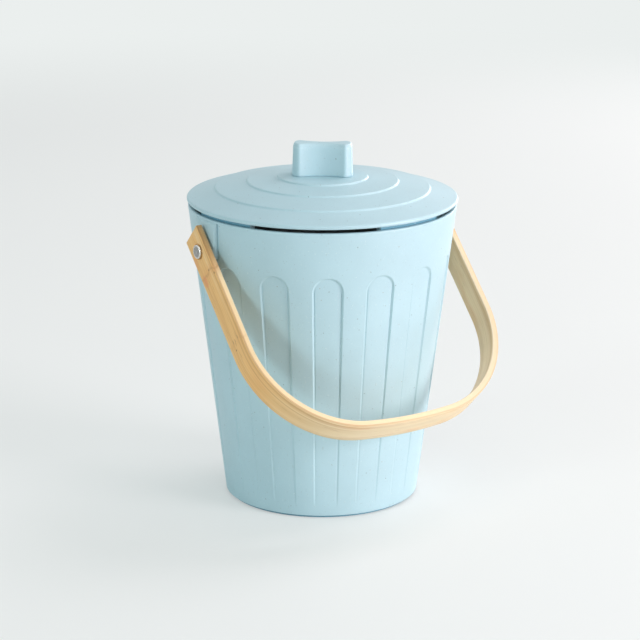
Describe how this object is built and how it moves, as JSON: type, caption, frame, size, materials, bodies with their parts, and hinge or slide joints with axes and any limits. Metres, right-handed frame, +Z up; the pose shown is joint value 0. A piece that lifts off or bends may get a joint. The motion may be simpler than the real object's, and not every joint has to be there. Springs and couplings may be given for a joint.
{
  "type": "compost caddy",
  "caption": "Tapered round kitchen compost caddy with a fluted wall, a lift-off domed vented lid with a block knob, a charcoal filter tray and a bent bamboo bail handle.",
  "frame": {"origin": "On the bin's own axis, in the plane of its base", "axes": "+Z up along the bin's axis, the two handle pivots on a line along X, the handle hanging forward over -Y"},
  "size_m": [0.2166, 0.223, 0.2684],
  "materials": {
    "body_blue": "pastel blue moulded bamboo-fibre plastic with fine dark and brown specks, satin",
    "bamboo": "steam-bent laminated bamboo strip, clear satin, grain along the strip",
    "steel": "stainless steel, satin",
    "nylon": "natural nylon",
    "charcoal": "needled carbon felt"
  },
  "bodies": {
    "bin": {"bin": "body_blue", "spacer_left": "nylon", "spacer_right": "nylon", "pivot_screw_left": "steel", "pivot_screw_right": "steel", "inner_washer_left": "steel", "inner_washer_right": "steel", "cap_nut_left": "steel", "cap_nut_right": "steel"},
    "handle": {"handle": "bamboo"},
    "lid": {"lid": "body_blue", "knob": "body_blue", "knob_washer": "steel", "knob_screw": "steel"},
    "filter_tray": {"filter_tray": "body_blue", "filter_pad": "charcoal"}
  },
  "joints": [
    {"name": "handle_swing", "type": "hinge", "parent": "bin", "child": "handle", "pos_m": [0, 0, 0.199], "axis": [-1, 0, 0], "range_deg": [-9, 281.5]},
    {"name": "lid_lift", "type": "slide", "parent": "bin", "child": "lid", "axis": [0, 0, 1], "range_m": [0, 0.04]},
    {"name": "filter_tray_twist", "type": "hinge", "parent": "lid", "child": "filter_tray", "pos_m": [0, 0, 0.212], "axis": [0, 0, 1], "range_deg": [0, 45]}
  ]
}
